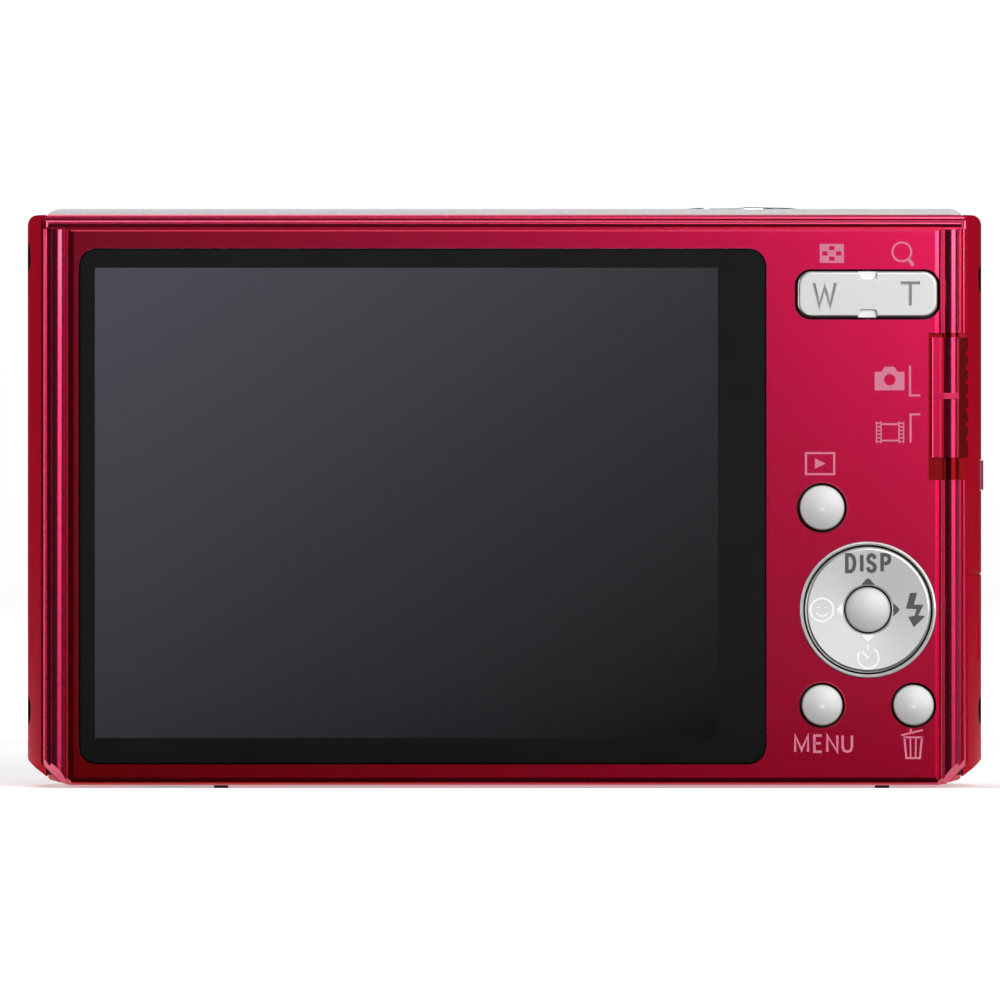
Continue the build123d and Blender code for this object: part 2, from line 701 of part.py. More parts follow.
with BuildPart() as mode_switch:
    # Head whose top carries the casing's ridge on and whose underside follows the track.
    with BuildSketch(Plane.XY.offset(switch_z[0])):
        with BuildLine():
            Polyline((switch_x[0], -8.57), (switch_x[0], -9.0), (41.8, -9.15), (42.45, -9.15))
            Polyline((42.45, -9.15), (42.85, -8.8), (42.95, -8.9))
            ThreePointArc((42.95, -8.9), (43.62, -9.12), (44.24, -8.9))
            Polyline((44.24, -8.9), (44.4, -8.46), (switch_x[1], -8.5), (switch_x[1], -8.25))
            Polyline((switch_x[1], -8.25), (44.4, -8.25), (44.2, -8.43))
            ThreePointArc((44.2, -8.43), (43.62, -8.58), (43.05, -8.43))
            Polyline((43.05, -8.43), (42.93, -8.43), (42.7, -8.57), (switch_x[0], -8.57))
        make_face()
    extrude(amount=switch_z[1] - switch_z[0])
    block((41.9, 44.3), (-9.3, -8.65), (index_z - 0.3, index_z + 0.3))
    for notch in range(knurl_count):
        notch_z = index_z + (notch - (knurl_count - 1) / 2) * knurl_pitch
        rod_y(switch_x[1] + 0.05, notch_z, 0.3, (-9.0, -7.0), Mode.SUBTRACT)
    # Stem through the track and the plate that holds it from inside.
    block(stem_x, (-8.6, -7.6), stem_z)
    block((41.2, 43.8), (-7.95, -7.55), (33.0, 43.3))
save(mode_switch, "mode_switch")


# ---- Lens ---------------------------------------------------------------------------------
barrel_travel = 8.0
aperture = (8.0, 6.4)
blade_pivot_x = 9.8
blade_y = (7.8, 8.2)
blade_pin_radius = 0.4
sensor_size = (7.8, 6.4)
focus_rod_x = 7.5
focus_rod_radius = 0.38

with BuildPart() as lens_ring:
    with BuildSketch(lens_plane):
        with BuildLine():
            Polyline((16.2, 8.0), (17.95, 8.0), (17.95, 9.12), (18.9, 9.12), (18.9, 9.25))
            ThreePointArc((18.9, 9.25), (18.84, 9.39), (18.7, 9.45))
            Polyline((18.7, 9.45), (17.2, 9.45), (16.2, 9.0), (16.2, 8.0))
        make_face()
    revolve(axis=lens_axis)
save(lens_ring, "lens_ring")

with BuildPart() as lens_base:
    with BuildSketch(lens_plane):
        ring_section((base_bore, base_radius), (-3.4, 7.6))
        ring_section((0, base_radius), (-4.1, -3.4))
    revolve(axis=lens_axis)
    block(grown((lens_x, lens_x), 4.2), (-5, -3), grown((lens_z, lens_z), 3.5), Mode.SUBTRACT)
    for side_x in (-1, 1):
        for side_z in (-1, 1):
            lug_x = lens_x + 12.94 * side_x
            lug_height = lens_z + 12.94 * side_z
            rod_y(lug_x, lug_height, 2.0, (-3.4, -2.4))
            rod_y(lug_x + 0.5 * side_x, lug_height + 0.5 * side_z, 0.5, (-5.0, 0.0), Mode.SUBTRACT)
        rod_y(lens_x + side_x * focus_rod_x, lens_z, focus_rod_radius + 0.05, (-5.0, 0.0), Mode.SUBTRACT)
    with BuildSketch(lens_plane):
        ring_section((0, base_bore), (-3.4, 7.6))
    revolve(axis=lens_axis, mode=Mode.SUBTRACT)
save(lens_base, "lens_base")

with BuildPart() as outer_barrel:
    with BuildSketch(lens_plane):
        ring_section((outer_barrel_bore, outer_barrel_radius), (-2.9, 9.2))
        ring_section((10.2, outer_barrel_radius), (-2.9, -2.3))
    revolve(axis=lens_axis)
    chamfer(outer_barrel.edges().group_by(Axis.Y)[-1], length=0.2)
save(outer_barrel, "outer_barrel")

with BuildPart() as inner_barrel:
    with BuildSketch(lens_plane):
        with BuildLine():
            Polyline(
                (0, 8.4),
                (inner_barrel_bore, 8.4),
                (inner_barrel_bore, -1.9),
                (inner_barrel_radius, -1.9),
                (inner_barrel_radius, 9.0),
                (13.9, barrel_front),
                (9.5, barrel_front),
                (6.0, 8.95),
                (0, 8.95),
                (0, 8.4),
            )
        make_face()
    revolve(axis=lens_axis)
    with BuildSketch(at_y(10)):
        with Locations((lens_x, lens_z)):
            RectangleRounded(aperture[0], aperture[1], 1.0)
    extrude(amount=3, mode=Mode.SUBTRACT)
    for side in (-1, 1):
        rod_y(lens_x + side * blade_pivot_x, lens_z, blade_pin_radius, (7.4, 8.5))
save(inner_barrel, "inner_barrel")


def barrier_blade():
    """Upper blade of the lens barrier, hung on its pin at the left of the aperture."""
    with BuildPart() as blade:
        with BuildSketch(Plane((lens_x, blade_y[1], lens_z), x_dir=(1, 0, 0), z_dir=(0, -1, 0))):
            with BuildLine():
                Polyline(
                    (-4.3, 0.06),
                    (4.25, 0.06),
                    (4.25, 3.3),
                    (-4.6, 3.5),
                    (-blade_pivot_x, 1.0),
                    (-blade_pivot_x, -0.9),
                    (-5.4, -0.9),
                    (-4.3, 0.06),
                )
            make_face()
            with Locations((-blade_pivot_x, 0)):
                Circle(1.0)
                Circle(blade_pin_radius + 0.05, mode=Mode.SUBTRACT)
        extrude(amount=blade_y[1] - blade_y[0])
    return blade


barrier_upper = barrier_blade()
save(barrier_upper, "barrier_blade_upper")

barrier_lower = barrier_blade()
with barrier_lower:
    mirror(about=Plane.YZ.offset(lens_x), mode=Mode.REPLACE)
    mirror(about=Plane.XY.offset(lens_z), mode=Mode.REPLACE)
save(barrier_lower, "barrier_blade_lower")

with BuildPart() as front_lens_cell:
    with BuildSketch(lens_plane):
        ring_section((8.2, 12.85), (4.0, 6.8))
    revolve(axis=lens_axis)
save(front_lens_cell, "front_lens_cell")


def lens_element(radius, edge_y, crown):
    """Biconvex glass between two spherical faces."""
    with BuildPart() as element:
        with BuildSketch(lens_plane):
            with BuildLine():
                sphere = (radius**2 + crown**2) / (2 * crown)
                drop = sphere - sqrt(sphere**2 - (radius / 2) ** 2)
                low, high = edge_y[0] - crown, edge_y[1] + crown
                ThreePointArc((0, low), (radius / 2, low + drop), (radius, edge_y[0]))
                Line((radius, edge_y[0]), (radius, edge_y[1]))
                ThreePointArc((radius, edge_y[1]), (radius / 2, high - drop), (0, high))
                Line((0, high), (0, low))
            make_face()
        revolve(axis=lens_axis)
    return element


front_lens = lens_element(8.15, (4.7, 6.0), 0.9)
save(front_lens, "front_lens")

with BuildPart() as zoom_group_cell:
    with BuildSketch(lens_plane):
        ring_section((5.6, 12.6), (0.6, 1.4))
        ring_section((12.0, 12.6), (-2.25, 1.4))
    revolve(axis=lens_axis)
save(zoom_group_cell, "zoom_group_cell")

zoom_group_lens = lens_element(5.55, (0.7, 1.3), 0.4)
save(zoom_group_lens, "zoom_group_lens")

with BuildPart() as focus_carrier:
    with BuildSketch(at_y(-1.1)):
        with Locations((lens_x, lens_z)):
            Circle(4.8)
            Rectangle(2 * focus_rod_x + 2.0, 2.0)
            Circle(3.4, mode=Mode.SUBTRACT)
            for side in (-1, 1):
                with Locations((side * focus_rod_x, 0)):
                    Circle(focus_rod_radius + 0.07, mode=Mode.SUBTRACT)
    extrude(amount=0.9)
save(focus_carrier, "focus_carrier")

focus_lens = lens_element(3.35, (-1.8, -1.3), 0.25)
save(focus_lens, "focus_lens")

with BuildPart() as image_sensor:
    block(
        grown((lens_x, lens_x), sensor_size[0] / 2),
        (-4.1, -3.45),
        grown((lens_z, lens_z), sensor_size[1] / 2),
    )
save(image_sensor, "image_sensor")

with BuildPart() as sensor_plate:
    block(grown((lens_x, lens_x), 8.4), (-4.75, -4.12), grown((lens_z, lens_z), 7.0))
    for side in (-1, 1):
        rod_y(lens_x + side * focus_rod_x, lens_z, focus_rod_radius, (-4.2, 0.3))
save(sensor_plate, "sensor_plate")

with BuildPart() as zoom_motor:
    rod_x(2.0, 46.5, 3.0, (-38.0, -27.0))
    block((-27.0, -21.0), (-2.0, 5.5), (42.6, 49.5))
save(zoom_motor, "zoom_motor")


# ---- Flash and lamp -----------------------------------------------------------------------
reflector_x = (13.3, 25.7)

with BuildPart() as flash_window:
    with BuildSketch(at_y(front_face)):
        window(flash_x, flash_z, 0.8)
    extrude(amount=0.9)
    for rib in range(9):
        rib_x = flash_x[0] + 1.5 + rib * 1.25
        rod_z(rib_x, front_face - 0.95, 0.25, flash_z, Mode.SUBTRACT)
save(flash_window, "flash_window")

with BuildPart() as flash_reflector:
    with BuildSketch(Plane.YZ.offset(reflector_x[0])):
        with BuildLine():
            ThreePointArc((8.05, 45.95), (4.2, 48.3), (8.05, 50.65))
            Line((8.05, 50.65), (8.05, 50.25))
            ThreePointArc((8.05, 50.25), (4.6, 48.3), (8.05, 46.35))
            Line((8.05, 46.35), (8.05, 45.95))
        make_face()
    extrude(amount=reflector_x[1] - reflector_x[0])
save(flash_reflector, "flash_reflector")

with BuildPart() as flash_tube:
    rod_x(5.7, 48.3, 0.8, (12.6, 26.4))
save(flash_tube, "flash_tube")

with BuildPart() as flash_capacitor:
    rod_z(-37.5, 1.5, 3.5, (12.0, 38.0))
    fillet(flash_capacitor.edges().filter_by(GeomType.CIRCLE), radius=0.5)
    for side in (-1, 1):
        rod_z(-37.5 + side * 1.3, 1.5, 0.3, (10.0, 12.0))
save(flash_capacitor, "flash_capacitor")

with BuildPart() as focus_lamp:
    rod_y(lamp_x, lamp_z, lamp_radius, (6.6, front_face))
    rod_y(lamp_x, lamp_z, 2.0, (7.2, 8.0))
save(focus_lamp, "focus_lamp")


# ---- Boards, battery and card -------------------------------------------------------------
bay_wall = 0.5
bay_inner_x, bay_inner_y, bay_inner_z = (12.6, 42.4), (-0.4, 6.0), (1.9, 42.0)
slot_inner_x, slot_inner_y, slot_inner_z = grown(card_x, 0.15), (-3.7, -1.3), (1.9, 34.1)

with BuildPart() as chassis:
    block((-43.4, 43.2), (-5.4, -5.0), (2.4, 53.6))
    for tab_x in ((-43.4, -24.0), (33.0, 43.2)):
        block(tab_x, (-5.4, -2.4), (53.2, 53.6))
    block((-43.4, -42.9), (-5.4, -2.4), (6.0, 53.6))
    block((20.0, 40.0), (-6, -4), (10.0, 20.0), Mode.SUBTRACT)
    block((-36.0, -28.0), (-6, -4), (12.0, 42.0), Mode.SUBTRACT)
    for boss_z in boss_zs:
        rod_y(boss_x, boss_z, 0.5, (-6, -4), Mode.SUBTRACT)
save(chassis, "chassis")

with BuildPart() as main_board:
    block((12.2, 43.0), (-4.85, -4.05), (3.0, 50.0))
    block((16.0, 26.0), (-4.05, -2.9), (37.0, 47.0))
    block((29.0, 37.0), (-4.05, -3.0), (38.0, 45.0))
    for chip in range(4):
        block((17.0 + 5 * chip, 19.5 + 5 * chip), (-4.05, -3.4), (35.0, 36.3))
save(main_board, "main_board")

with BuildPart() as battery_bay:
    block(grown(bay_inner_x, bay_wall), grown(bay_inner_y, bay_wall), (bay_inner_z[0], bay_inner_z[1] + bay_wall))
    block(bay_inner_x, bay_inner_y, bay_inner_z, Mode.SUBTRACT)
save(battery_bay, "battery_bay")

with BuildPart() as battery:
    block(battery_x, battery_y, battery_z)
    fillet(battery.edges().filter_by(Axis.Z), radius=1.2)
    for contact in range(3):
        contact_x = 16.0 + 2.5 * contact
        block((contact_x - 0.7, contact_x + 0.7), (1.5, 4.0), (39.7, 40.1), Mode.SUBTRACT)
save(battery, "battery")

with BuildPart() as card_slot:
    block(grown(slot_inner_x, 0.25), grown(slot_inner_y, 0.25), (slot_inner_z[0], slot_inner_z[1] + 0.5))
    block(slot_inner_x, slot_inner_y, slot_inner_z, Mode.SUBTRACT)
save(card_slot, "card_slot")

with BuildPart() as memory_card:
    block(card_x, card_y, card_z)
    corners = memory_card.edges().filter_by(Axis.Y)
    chamfer(corners.group_by(Axis.Z)[-1].sort_by(Axis.X)[0], length=2.5)
    fillet(corners.group_by(Axis.Z)[0], radius=0.8)
save(memory_card, "memory_card")
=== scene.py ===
"""Looks of the compact digital camera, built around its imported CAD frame. Metres."""
import json
import math

import bmesh
import bpy
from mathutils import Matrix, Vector


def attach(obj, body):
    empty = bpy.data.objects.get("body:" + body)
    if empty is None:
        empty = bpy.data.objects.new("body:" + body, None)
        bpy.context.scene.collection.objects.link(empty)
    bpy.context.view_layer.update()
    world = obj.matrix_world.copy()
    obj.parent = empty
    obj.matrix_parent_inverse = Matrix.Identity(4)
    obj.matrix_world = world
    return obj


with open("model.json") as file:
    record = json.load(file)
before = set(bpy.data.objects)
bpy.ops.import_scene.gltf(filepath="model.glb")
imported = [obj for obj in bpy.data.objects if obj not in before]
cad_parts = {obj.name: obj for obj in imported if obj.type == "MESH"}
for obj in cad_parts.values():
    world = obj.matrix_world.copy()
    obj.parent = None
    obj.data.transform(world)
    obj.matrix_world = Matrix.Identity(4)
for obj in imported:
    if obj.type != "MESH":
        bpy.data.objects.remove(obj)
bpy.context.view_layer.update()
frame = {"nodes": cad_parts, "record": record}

NODES = frame["nodes"]
MM = 0.001


# ---- Materials ----------------------------------------------------------------------------
# Boxes given by two corners: the display's picture area, which takes a painted reflection, and the mode
# switch's sunken track, whose floor is darkened as painted shade.
PICTURE_LOW, PICTURE_HIGH = (-0.03995, -0.0092, 0.00494), (0.0208, 0.0, 0.0508)
TRACK_LOW, TRACK_HIGH = (0.0413, -0.00856, 0.0301), (0.0460, -0.0070, 0.04446)
# The rear cover's ridges lie further out, or higher, than these two lines; there the paint takes a
# paler, pinker colour as a painted highlight.
RIDGES_BESIDE, RIDGES_ABOVE = 0.04285, 0.0547
# Screw recesses of the side trims: their depth, radius and heights; within this reach the trim's colour
# turns near black, painted shade on the recess walls.
SCREW_DEPTH, SCREW_RADIUS = -2.5 * MM, 1.41 * MM
LEFT_SCREWS, RIGHT_SCREWS = (7.5 * MM, 51.9 * MM), (7.5 * MM, 49.9 * MM)
# Depths over which the outside of a key, and of the pad's ring, turns black: painted shade in the gap
# round it.
KEY_SKIRT, PAD_RING_SKIRT = (-8.75 * MM, -8.5 * MM), (-8.6 * MM, -8.3 * MM)
# Casing reds: painted shade at lower left, painted light at upper right, and a paler painted highlight
# for the ridges.
SHADED_RED, LIT_RED, RIDGE_HIGHLIGHT_RED = (0.50, 0.002, 0.008), (0.60, 0.006, 0.075), (0.64, 0.030, 0.105)
# Heights of the surface relief, from fine grain to copper tracks.
FINE, COARSE, COPPER = 0.00001, 0.00002, 0.00003
# Places of the colour sockets among the Mix node's inputs and outputs.
MIX_FIRST, MIX_SECOND, MIX_RESULT = 6, 7, 2


def grey(value):
    return (value, value, value)


def shade(color, factor):
    return tuple(channel * factor for channel in color)


class Recipe:
    """A node tree with one Principled shader, and short ways to wire into it."""

    def __init__(self, name, color, roughness, metallic=0.0):
        self.material = bpy.data.materials.new(name)
        self.material.use_nodes = True
        self.tree = self.material.node_tree
        self.shader = self.tree.nodes["Principled BSDF"]
        self.set("Base Color", (*color, 1.0))
        self.set("Roughness", roughness)
        self.set("Metallic", metallic)
        self.place = self.node("ShaderNodeTexCoord").outputs["Object"]

    def set(self, socket, value):
        self.shader.inputs[socket].default_value = value

    def feed(self, source, socket):
        self.link(source, self.shader.inputs[socket])

    def node(self, kind, **settings):
        made = self.tree.nodes.new(kind)
        for key, value in settings.items():
            setattr(made, key, value)
        return made

    def link(self, source, target):
        self.tree.links.new(source, target)

    def plug(self, value, target):
        """Give an input a number, or wire it to a socket."""
        if isinstance(value, (int, float)):
            target.default_value = value
        else:
            self.link(value, target)

    def math(self, operation, first, second=0.0):
        """Math node on two inputs, each a socket or a number."""
        made = self.node("ShaderNodeMath", operation=operation)
        self.plug(first, made.inputs[0])
        self.plug(second, made.inputs[1])
        return made.outputs["Value"]

    def axes(self):
        """The three object-space coordinates, in metres."""
        split = self.node("ShaderNodeSeparateXYZ")
        self.link(self.place, split.inputs["Vector"])
        return split.outputs["X"], split.outputs["Y"], split.outputs["Z"]

    def noise(self, scale, detail=2.0, stretch=None):
        """Noise in object space: scale is in cells per metre, times stretch along each axis."""
        texture = self.node("ShaderNodeTexNoise")
        texture.inputs["Scale"].default_value = scale
        texture.inputs["Detail"].default_value = detail
        source = self.place
        if stretch:
            mapping = self.node("ShaderNodeMapping")
            mapping.inputs["Scale"].default_value = stretch
            self.link(source, mapping.inputs["Vector"])
            source = mapping.outputs["Vector"]
        self.link(source, texture.inputs["Vector"])
        return texture.outputs["Fac"]

    def cells(self, scale, randomness):
        """A random tone for each Voronoi cell in object space."""
        texture = self.node("ShaderNodeTexVoronoi")
        texture.inputs["Scale"].default_value = scale
        texture.inputs["Randomness"].default_value = randomness
        self.link(self.place, texture.inputs["Vector"])
        return texture.outputs["Color"]

    def ramp(self, factor, stops):
        made = self.node("ShaderNodeValToRGB")
        elements = made.color_ramp.elements
        while len(elements) < len(stops):
            elements.new(0.5)
        for element, (position, color) in zip(elements, stops):
            element.position = position
            element.color = (*color, 1.0)
        self.link(factor, made.inputs["Fac"])
        return made.outputs["Color"]

    def mottled(self, noise, first, second):
        """Two colours over the middle of a noise, where most of its values lie."""
        return self.ramp(noise, ((0.3, first), (0.7, second)))

    def squared_gap(self, axis, value):
        gap = self.math("SUBTRACT", axis, value)
        return self.math("MULTIPLY", gap, gap)

    def box_mask(self, low, high):
        """One inside a box given by two corners in metres, nought outside it."""
        inside = None
        for axis, start, end in zip(self.axes(), low, high):
            for operation, limit in (("GREATER_THAN", start), ("LESS_THAN", end)):
                step = self.math(operation, axis, limit)
                inside = step if inside is None else self.math("MULTIPLY", inside, step)
        return inside

    def spread(self, factor, low, high, start=0.0, end=1.0):
        """Map a factor from start..end onto low..high."""
        made = self.node("ShaderNodeMapRange")
        limits = (("From Min", start), ("From Max", end), ("To Min", low), ("To Max", high))
        for socket, value in limits:
            made.inputs[socket].default_value = value
        self.link(factor, made.inputs["Value"])
        return made.outputs["Result"]

    def slanted(self, operation, slope, start, end):
        """Nought to one on a diagonal: slope times the way across, plus or minus the height."""
        across, _, height = self.axes()
        slant = self.math(operation, self.math("MULTIPLY", across, slope), height)
        return self.spread(slant, 0.0, 1.0, start, end)

    def blend(self, factor, first, second, kind="MIX"):
        """Mix two colour sockets by a socket or a number."""
        made = self.node("ShaderNodeMix", data_type="RGBA", blend_type=kind)
        self.plug(factor, made.inputs["Factor"])
        self.link(first, made.inputs[MIX_FIRST])
        self.link(second, made.inputs[MIX_SECOND])
        return made.outputs[MIX_RESULT]

    def bump(self, height, strength, distance):
        made = self.node("ShaderNodeBump")
        made.inputs["Strength"].default_value = strength
        made.inputs["Distance"].default_value = distance
        self.link(height, made.inputs["Height"])
        self.feed(made.outputs["Normal"], "Normal")


def metallic_paint(name, casing=False):
    """Metallic lacquer under a clear coat, with painted light and shade in its colour: deep red at
    lower left as painted shade, warming to a lit pinkish red at upper right.

    On the casing, the ridges round the panel take a paler, pinker colour as a painted highlight, and
    the floor of the mode switch's track is darkened as painted shade.
    """
    roughness = 0.22
    recipe = Recipe(name, LIT_RED, roughness, 0.95)
    # Painted light and shade: the colour runs from the shaded red at lower left to the lit red at upper
    # right.
    light_slant = recipe.slanted("ADD", 0.55, -0.022, 0.075)
    painted_light = recipe.ramp(light_slant, ((0.0, SHADED_RED), (1.0, LIT_RED)))
    flake = recipe.noise(7000.0, 1.0)
    lacquer = recipe.blend(1.0, painted_light, recipe.mottled(flake, grey(0.93), grey(1.0)), "MULTIPLY")
    if casing:
        across, _, height = recipe.axes()
        beside = recipe.math("GREATER_THAN", recipe.math("ABSOLUTE", across), RIDGES_BESIDE)
        above = recipe.math("GREATER_THAN", height, RIDGES_ABOVE)
        # Painted highlight: the ridges get a paler, pinker red in place of the slanted painted light.
        ridge_highlight = recipe.mottled(flake, shade(RIDGE_HIGHLIGHT_RED, 0.95), RIDGE_HIGHLIGHT_RED)
        lacquer = recipe.blend(recipe.math("MAXIMUM", beside, above), lacquer, ridge_highlight)
        # Painted shade: the floor of the switch's track is darkened.
        painted_track_shade = recipe.mottled(flake, shade(SHADED_RED, 0.45), shade(SHADED_RED, 0.55))
        lacquer = recipe.blend(recipe.box_mask(TRACK_LOW, TRACK_HIGH), lacquer, painted_track_shade)
    recipe.feed(lacquer, "Base Color")
    wear = recipe.spread(recipe.noise(350.0), roughness - 0.01, roughness + 0.01)
    recipe.feed(wear, "Roughness")
    recipe.set("Specular IOR Level", 0.25)
    recipe.set("Coat Weight", 0.6)
    recipe.set("Coat Roughness", 0.06)
    recipe.set("Coat IOR", 1.5)
    recipe.bump(flake, 0.01, FINE)
    return recipe.material


def trim_lacquer(name, screw_heights):
    """Plain red lacquer of a side trim, with painted shade, near black, on the walls of its screw
    recesses.
    """
    red, recess_shade = (0.44, 0.002, 0.018), (0.012, 0.003, 0.003)
    recipe = Recipe(name, red, 0.35)
    grain = recipe.noise(5000.0, 1.0)
    lacquer = recipe.mottled(grain, shade(red, 0.95), red)
    dark = recipe.mottled(grain, shade(recess_shade, 0.8), recess_shade)
    _, depth, height = recipe.axes()
    # Near each screw the colour turns near black: painted shade in the recess.
    depth_gap = recipe.squared_gap(depth, SCREW_DEPTH)
    for screw_height in screw_heights:
        reach = recipe.math("ADD", depth_gap, recipe.squared_gap(height, screw_height))
        lacquer = recipe.blend(recipe.math("LESS_THAN", reach, SCREW_RADIUS**2), lacquer, dark)
    recipe.feed(lacquer, "Base Color")
    recipe.feed(recipe.spread(grain, 0.33, 0.37), "Roughness")
    recipe.set("Specular IOR Level", 0.02)
    return recipe.material


def satin_metal(
    name, color, roughness, stretch=None, scale=2500.0, relief=0.08, metallic=1.0, specular=0.5
):
    recipe = Recipe(name, color, roughness, metallic)
    recipe.set("Specular IOR Level", specular)
    mottle = recipe.noise(scale, 3.0, stretch)
    recipe.feed(recipe.mottled(mottle, shade(color, 0.9), color), "Base Color")
    recipe.feed(recipe.spread(mottle, roughness - 0.04, roughness + 0.05), "Roughness")
    recipe.bump(mottle, relief, FINE)
    return recipe.material


def turned_metal(name, color, roughness):
    """Anodised tube with fine turning lines around the lens axis."""
    return satin_metal(name, color, roughness, (0.05, 1.0, 0.05), 9000.0, 0.12)


def plated_key(name, color, roughness, skirt, metallic=1.0):
    """Satin plating on the outside of a key, black further in: painted shade in the gap round the key.
    """
    recipe = Recipe(name, color, roughness, metallic)
    mottle = recipe.noise(6000.0, 2.0)
    plating = recipe.mottled(mottle, shade(color, 0.94), color)
    # Near-black colour deeper in: painted shade in the gap round the key.
    recess_shade = recipe.mottled(mottle, grey(0.004), grey(0.010))
    _, depth, _ = recipe.axes()
    recipe.feed(recipe.blend(recipe.spread(depth, 0.0, 1.0, *skirt), plating, recess_shade), "Base Color")
    recipe.feed(recipe.spread(mottle, roughness - 0.03, roughness + 0.03), "Roughness")
    recipe.bump(mottle, 0.04, FINE)
    return recipe.material


def plastic(name, color, roughness, grain_size=0.0002, relief=0.15, glow=0.0):
    recipe = Recipe(name, color, roughness)
    recipe.set("Emission Color", (*color, 1.0))
    recipe.set("Emission Strength", glow)
    grain = recipe.noise(1.0 / grain_size, 2.0)
    recipe.feed(recipe.mottled(grain, shade(color, 0.8), color), "Base Color")
    recipe.feed(recipe.spread(grain, roughness - 0.06, roughness + 0.06), "Roughness")
    recipe.bump(grain, relief, COARSE)
    return recipe.material


def display_window():
    """Hard window: black printed border, and over the picture area a painted reflection, pale at upper
    left and fading to dark at lower right.
    """
    recipe = Recipe("display_window", grey(0.012), 0.07)
    light_slant = recipe.slanted("SUBTRACT", 0.75, -0.080, 0.010)
    # Colours of the painted reflection, from upper left to lower right.
    top_left, middle, low_right = (0.092, 0.092, 0.116), (0.040, 0.040, 0.048), (0.004, 0.004, 0.006)
    painted_reflection = recipe.ramp(light_slant, ((0.0, top_left), (0.5, middle), (1.0, low_right)))
    grime = recipe.noise(120.0, 3.0)
    border = recipe.mottled(grime, grey(0.006), grey(0.008))
    recipe.feed(recipe.blend(recipe.box_mask(PICTURE_LOW, PICTURE_HIGH), border, painted_reflection), "Base Color")
    recipe.feed(recipe.spread(grime, 0.05, 0.09), "Roughness")
    return recipe.material


def circuit_board(name, mask, copper):
    """Solder mask over copper tracks, with small bright pads."""
    recipe = Recipe(name, mask, 0.35)
    tracks = recipe.noise(700.0, 1.0, (1.0, 1.0, 6.0))
    base = recipe.ramp(tracks, ((0.46, mask), (0.5, shade(mask, 1.9)), (0.54, mask)))
    pads = recipe.ramp(recipe.cells(900.0, 0.6), ((0.80, grey(0.0)), (0.82, grey(1.0))))
    metal = recipe.ramp(tracks, ((0.0, shade(copper, 0.8)), (1.0, copper)))
    recipe.feed(recipe.blend(pads, base, metal), "Base Color")
    recipe.feed(recipe.spread(tracks, 0.28, 0.42), "Roughness")
    recipe.bump(tracks, 0.2, COPPER)
    return recipe.material


def coated_glass():
    """Dark optical glass with a faint blue and violet coating."""
    recipe = Recipe("coated_glass", (0.01, 0.012, 0.02), 0.03)
    blue, violet = (0.010, 0.012, 0.030), (0.016, 0.010, 0.030)
    recipe.feed(recipe.ramp(recipe.noise(60.0, 1.0), ((0.35, blue), (0.65, violet))), "Base Color")
    recipe.feed(recipe.spread(recipe.noise(300.0), 0.02, 0.05), "Roughness")
    recipe.set("Coat Weight", 1.0)
    recipe.set("Coat Roughness", 0.02)
    recipe.set("Coat Tint", (0.75, 0.7, 1.0, 1.0))
    return recipe.material


def clear_moulding(name, color):
    """Clear moulding, lightly frosted by its fine prisms."""
    recipe = Recipe(name, color, 0.18)
    frost = recipe.noise(1800.0, 2.0)
    recipe.feed(recipe.mottled(frost, shade(color, 0.85), color), "Base Color")
    recipe.feed(recipe.spread(frost, 0.12, 0.26), "Roughness")
    recipe.set("Transmission Weight", 0.35)
    recipe.set("IOR", 1.49)
    recipe.bump(frost, 0.1, COARSE)
    return recipe.material


def chip_face():
    """Covered sensor chip with a faint play of colour."""
    recipe = Recipe("sensor_chip", (0.05, 0.03, 0.09), 0.15, 0.4)
    violet, blue, green = (0.05, 0.02, 0.10), (0.02, 0.06, 0.10), (0.03, 0.09, 0.05)
    hue = recipe.ramp(recipe.noise(150.0, 1.0), ((0.3, violet), (0.5, blue), (0.7, green)))
    recipe.feed(hue, "Base Color")
    recipe.feed(recipe.spread(recipe.noise(500.0), 0.1, 0.2), "Roughness")
    return recipe.material


def sleeve(name, color, stripe):
    """Shrink sleeve with a paler stripe along its height."""
    recipe = Recipe(name, color, 0.4)
    bands = recipe.noise(220.0, 0.0, (1.0, 1.0, 0.02))
    recipe.feed(recipe.ramp(bands, ((0.52, color), (0.56, stripe))), "Base Color")
    grain = recipe.noise(4000.0, 2.0)
    recipe.feed(recipe.spread(grain, 0.34, 0.46), "Roughness")
    recipe.bump(grain, 0.1, COARSE)
    return recipe.material


casing_paint = metallic_paint("red_casing_paint", casing=True)
right_trim_paint = trim_lacquer("right_trim_paint", RIGHT_SCREWS)
dome_plating = plated_key("satin_plated_domes", grey(0.80), 0.6, KEY_SKIRT, 0.3)
top_plating = satin_metal("satin_plated_buttons", (0.80, 0.80, 0.79), 0.28, None, 6000.0, 0.04)
bright_ring = satin_metal("bright_plated_ring", (0.90, 0.90, 0.91), 0.15)

